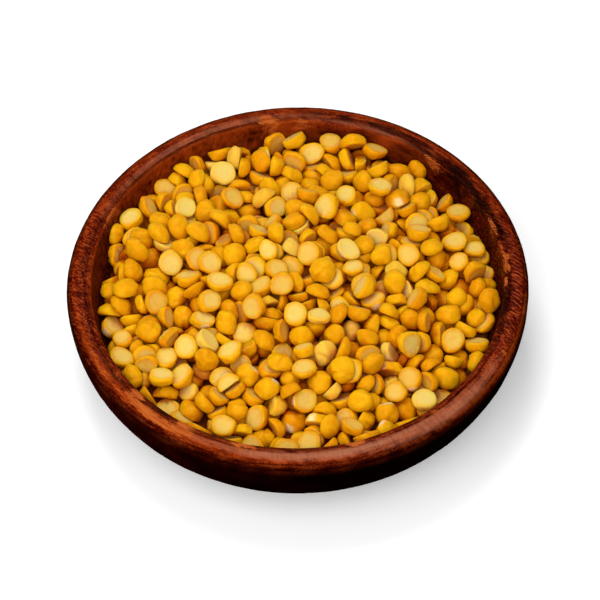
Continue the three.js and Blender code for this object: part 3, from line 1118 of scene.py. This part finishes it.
def dry_dal():
    material, tree, shader = new_material("dry_dal")
    plain = millimetres(tree)
    tone = attribute(tree, "tone")
    mottle = noise_value(tree, plain, MOTTLE_SIZE)
    fine = noise_value(tree, plain, FINE_SIZE)
    mixed = plus(tree, times(tree, mottle, MOTTLE_SHARE), times(tree, tone, TONE_SHARE))
    back = layered(tree, ranged(tree, mixed, *BACK_RANGE), DAL_BACK_DEEP, DAL_BACK)
    back = layered(tree, ranged(tree, tone, *PALE_RANGE), back, DAL_PALE)
    cut_tone = layered(tree, ranged(tree, tone, 0.0, 1.0), DAL_CUT_DULL, DAL_CUT)
    middle = ranged(tree, attribute(tree, "reach"), *CUT_EDGE, smooth=True)
    share = times(tree, attribute(tree, "cut"), middle)
    share = times(tree, share, ranged(tree, mottle, *CUT_MOTTLE))
    # Painted shade: cut faces turned down lose their paleness
    share = times(tree, share, ranged(tree, attribute(tree, "upward"), *CUT_UPWARD_SHADE))
    colour = layered(tree, share, back, cut_tone)
    # Painted shade in the folds
    colour = layered(tree, times(tree, attribute(tree, "folded"), FOLD_SHADE), colour, DAL_BACK_DEEP)
    colour = layered(tree, times(tree, attribute(tree, "chipped"), CHIP_PALENESS), colour, DAL_CHIP)
    # Painted shade between the grains and on sides turned from the light
    colour = layered(tree, attribute(tree, "sunk"), colour, DAL_SHADE, "MULTIPLY")
    link(tree, colour, shader.inputs["Base Color"])
    link(tree, ranged(tree, fine, *DAL_GLOSS), shader.inputs["Roughness"])
    relief = plus(tree, mottle, times(tree, fine, FINE_RELIEF))
    link(tree, bumped(tree, relief, DAL_RELIEF * MM, DAL_RELIEF_STRENGTH), shader.inputs["Normal"])
    set_inputs(shader, {"Specular IOR Level": DAL_SHINE_LEVEL, "Specular Tint": DAL_SHINE})
    set_inputs(shader, {"Subsurface Weight": DAL_GLOW, "Subsurface Scale": MM})
    set_inputs(shader, {"Subsurface Radius": DAL_GLOW_REACH})
    return material


# The shapes that stand for the grains of one sort while they are set out
def half_pea_shapes(first, count, fineness):
    shapes = bpy.data.collections.new("half_peas")
    for kind in range(first, first + count):
        points, looks = half_pea(kind, *fineness)
        mesh = bpy.data.meshes.new("half_pea")
        mesh.from_pydata((points * MM).tolist(), [], half_pea_faces(len(points), fineness[2]))
        mesh.shade_smooth()
        for name, values in looks.items():
            add_values(mesh, name, values)
        shapes.objects.link(bpy.data.objects.new("half_pea_%02d" % kind, mesh))
    return shapes


# A tree that sets one half pea on each point, by the point's own kind and turn
def setting_out_tree():
    tree = bpy.data.node_groups.new("set_out_dal", "GeometryNodeTree")
    tree.interface.new_socket("Geometry", in_out="INPUT", socket_type="NodeSocketGeometry")
    tree.interface.new_socket("Half peas", in_out="INPUT", socket_type="NodeSocketCollection")
    tree.interface.new_socket("Finish", in_out="INPUT", socket_type="NodeSocketMaterial")
    tree.interface.new_socket("Geometry", in_out="OUTPUT", socket_type="NodeSocketGeometry")
    entry = add_node(tree, "NodeGroupInput")
    leave = add_node(tree, "NodeGroupOutput")
    whole_sort = {"Separate Children": True, "Reset Children": True}
    shapes = add_node(tree, "GeometryNodeCollectionInfo", None, whole_sort)
    kind = add_node(tree, "GeometryNodeInputNamedAttribute", {"data_type": "INT"}, {"Name": "kind"})
    turn = add_node(tree, "GeometryNodeInputNamedAttribute", {"data_type": "QUATERNION"}, {"Name": "turn"})
    setter = add_node(tree, "GeometryNodeInstanceOnPoints", None, {"Pick Instance": True})
    real = add_node(tree, "GeometryNodeRealizeInstances")
    finish = add_node(tree, "GeometryNodeSetMaterial")
    link(tree, entry.outputs["Geometry"], setter.inputs["Points"])
    link(tree, entry.outputs["Half peas"], shapes.inputs["Collection"])
    link(tree, shapes.outputs["Instances"], setter.inputs["Instance"])
    link(tree, kind.outputs["Attribute"], setter.inputs["Instance Index"])
    link(tree, turn.outputs["Attribute"], setter.inputs["Rotation"])
    link(tree, setter.outputs["Instances"], real.inputs["Geometry"])
    link(tree, real.outputs["Geometry"], finish.inputs["Geometry"])
    link(tree, entry.outputs["Finish"], finish.inputs["Material"])
    link(tree, finish.outputs["Geometry"], leave.inputs["Geometry"])
    return tree


def socket_id(tree, name):
    inputs = [item for item in tree.interface.items_tree if item.in_out == "INPUT"]
    return next(item.identifier for item in inputs if item.name == name)


# The grains of one sort as one plain mesh
def dal_mesh(name, rests, first, count, fineness, finish):
    kinds, places, turns = rests
    sort = [i for i, kind in enumerate(kinds) if first <= kind < first + count]
    seats = bpy.data.meshes.new("seats")
    seats.from_pydata([tuple(Vector(places[i]) * MM) for i in sort], [], [])
    kind_layer = seats.attributes.new("kind", "INT", "POINT")
    kind_layer.data.foreach_set("value", np.array([kinds[i] - first for i in sort], np.int32))
    turn_layer = seats.attributes.new("turn", "QUATERNION", "POINT")
    turn_layer.data.foreach_set("value", np.array([tuple(turns[i]) for i in sort], np.float32).ravel())
    add_values(seats, "tone", np.random.default_rng(TONE_SEED + first).uniform(0, 1, len(sort)))
    holder = placed("seats", seats)
    tree = setting_out_tree()
    setter = holder.modifiers.new("set_out_dal", "NODES")
    setter.node_group = tree
    shapes = half_pea_shapes(first, count, fineness)
    setter[socket_id(tree, "Half peas")] = shapes
    setter[socket_id(tree, "Finish")] = finish
    depsgraph = bpy.context.evaluated_depsgraph_get()
    mesh = bpy.data.meshes.new_from_object(holder.evaluated_get(depsgraph))
    mesh.name = name
    bpy.data.objects.remove(holder)
    for shape in list(shapes.objects):
        bpy.data.objects.remove(shape)
    bpy.data.collections.remove(shapes)
    for spare in ("kind", "turn"):
        if spare in mesh.attributes:
            mesh.attributes.remove(mesh.attributes[spare])
    return mesh


# Adds to the grains the painted shade of how far each point lies below the top of the heap around it or is
# turned from the light, and how far each point faces up, which dulls the pale cut face as painted shade
def add_painted_shade(meshes):
    last = SHADE_CELLS - 1
    points = [points_of(mesh) / MM for mesh in meshes]
    seats = []
    for p in points:
        cells = (p[:, :2] + SHADE_REACH) * SHADE_CELLS / (2 * SHADE_REACH)
        seats.append(tuple(np.clip(cells, 0, last).astype(int).T))
    top = np.zeros((SHADE_CELLS, SHADE_CELLS))
    for p, seat in zip(points, seats):
        np.maximum.at(top, seat, p[:, 2])
    for _ in range(SHADE_WIDENINGS):
        around = [np.roll(top, step, axis) for step in (-1, 1) for axis in (0, 1)]
        top = np.maximum.reduce([top] + around)
    for mesh, p, seat in zip(meshes, points, seats):
        upward = normals_of(mesh)[:, 2]
        turned_away = SIDE_SHADE * np.clip(SIDE_SHADE_FROM - upward, 0, 1)
        below = np.clip((top[seat] - p[:, 2] - SHADE_FROM) / SHADE_RUN, 0, DEEPEST_SHADE)
        add_values(mesh, "upward", np.clip(upward, 0, 1))
        add_values(mesh, "sunk", below + turned_away)


start_kinds, start_places, start_turns = poured_start()
rest_places, rest_turns = poured(start_kinds, start_places, start_turns)
rests = settled(start_kinds, rest_places, rest_turns)
dal_finish = dry_dal()
dal_meshes = [dal_mesh(name, rests, *sort, dal_finish) for name, *sort in DAL_SORTS]
add_painted_shade(dal_meshes)
for mesh in dal_meshes:
    dal = placed(mesh.name, mesh)
    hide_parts("dal_heap")
    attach(dal, "root")


# The stand: a plain white floor that glows a little, a soft lamp above and behind the dish and a wider one in
# front of it, pale light from all round, and the view of the photograph.

FLOOR_SIZE = 3.0
FLOOR_WHITE = (0.93, 0.93, 0.93, 1)
FLOOR_ROUGHNESS = 0.9
FLOOR_SHINE = 0.1
FLOOR_GLOW = 0.22
WHITE = (1, 1, 1, 1)
LIGHT_AIM = (0, 0, 0.02)
KEY_PLACE = (-0.08, 0.26, 0.75)
KEY_SIZE = 0.30
KEY_POWER = 2.5
FRONT_PLACE = (-0.15, -0.39, 0.53)
FRONT_SIZE = 0.70
FRONT_POWER = 3.9
ROUND_LIGHT = 0.33
VIEW_ELEVATION = math.radians(52.3)
VIEW_DISTANCE = 800.0
VIEW_ROLL = math.radians(1.16)
VIEW_OFFSET = (0.73, -6.65)
VIEW_LENS = 171.0
VIEW_SENSOR = 36.0
VIEW_NEAREST = 0.01


def white_floor():
    material, _, shader = new_material("white_floor")
    set_inputs(shader, {"Base Color": FLOOR_WHITE, "Emission Color": WHITE, "Emission Strength": FLOOR_GLOW})
    set_inputs(shader, {"Roughness": FLOOR_ROUGHNESS, "Specular IOR Level": FLOOR_SHINE})
    return material


def soft_light(name, place, size, power):
    lamp = bpy.data.lights.new(name, "AREA")
    lamp.shape = "RECTANGLE"
    lamp.size, lamp.size_y = size, size
    lamp.energy = power
    light = bpy.data.objects.new(name, lamp)
    light.location = place
    light.rotation_euler = (Vector(LIGHT_AIM) - Vector(place)).to_track_quat("-Z", "Y").to_euler()
    bpy.context.scene.collection.objects.link(light)


half = FLOOR_SIZE / 2
floor_mesh = bpy.data.meshes.new("floor")
corners = [(-half, -half, 0), (half, -half, 0), (half, half, 0), (-half, half, 0)]
floor_mesh.from_pydata(corners, [], [(0, 1, 2, 3)])
floor_mesh.materials.append(white_floor())
floor = placed("floor", floor_mesh)

soft_light("key_light", KEY_PLACE, KEY_SIZE, KEY_POWER)
soft_light("front_light", FRONT_PLACE, FRONT_SIZE, FRONT_POWER)

world = bpy.data.worlds.new("studio")
world.use_nodes = True
set_inputs(world.node_tree.nodes["Background"], {"Color": WHITE, "Strength": ROUND_LIGHT})
bpy.context.scene.world = world
bpy.context.scene.view_settings.view_transform = "Standard"

view_right, view_up = Vector((1, 0, 0)), Vector((0, math.sin(VIEW_ELEVATION), math.cos(VIEW_ELEVATION)))
view_back = Vector((0, -math.cos(VIEW_ELEVATION), math.sin(VIEW_ELEVATION)))
rolled_up = view_up * math.cos(VIEW_ROLL) + view_right * math.sin(VIEW_ROLL)
rolled_right = view_right * math.cos(VIEW_ROLL) - view_up * math.sin(VIEW_ROLL)
aim = Vector((0, 0, DISH_HEIGHT)) + rolled_right * VIEW_OFFSET[0] + rolled_up * VIEW_OFFSET[1]
camera_data = bpy.data.cameras.new("camera")
camera_data.lens = VIEW_LENS
camera_data.sensor_width = VIEW_SENSOR
camera_data.clip_start = VIEW_NEAREST
camera = bpy.data.objects.new("camera", camera_data)
turn = Matrix((rolled_right, rolled_up, view_back)).transposed().to_4x4()
camera.matrix_world = Matrix.Translation((aim + view_back * VIEW_DISTANCE) * MM) @ turn
bpy.context.scene.collection.objects.link(camera)
bpy.context.scene.camera = camera
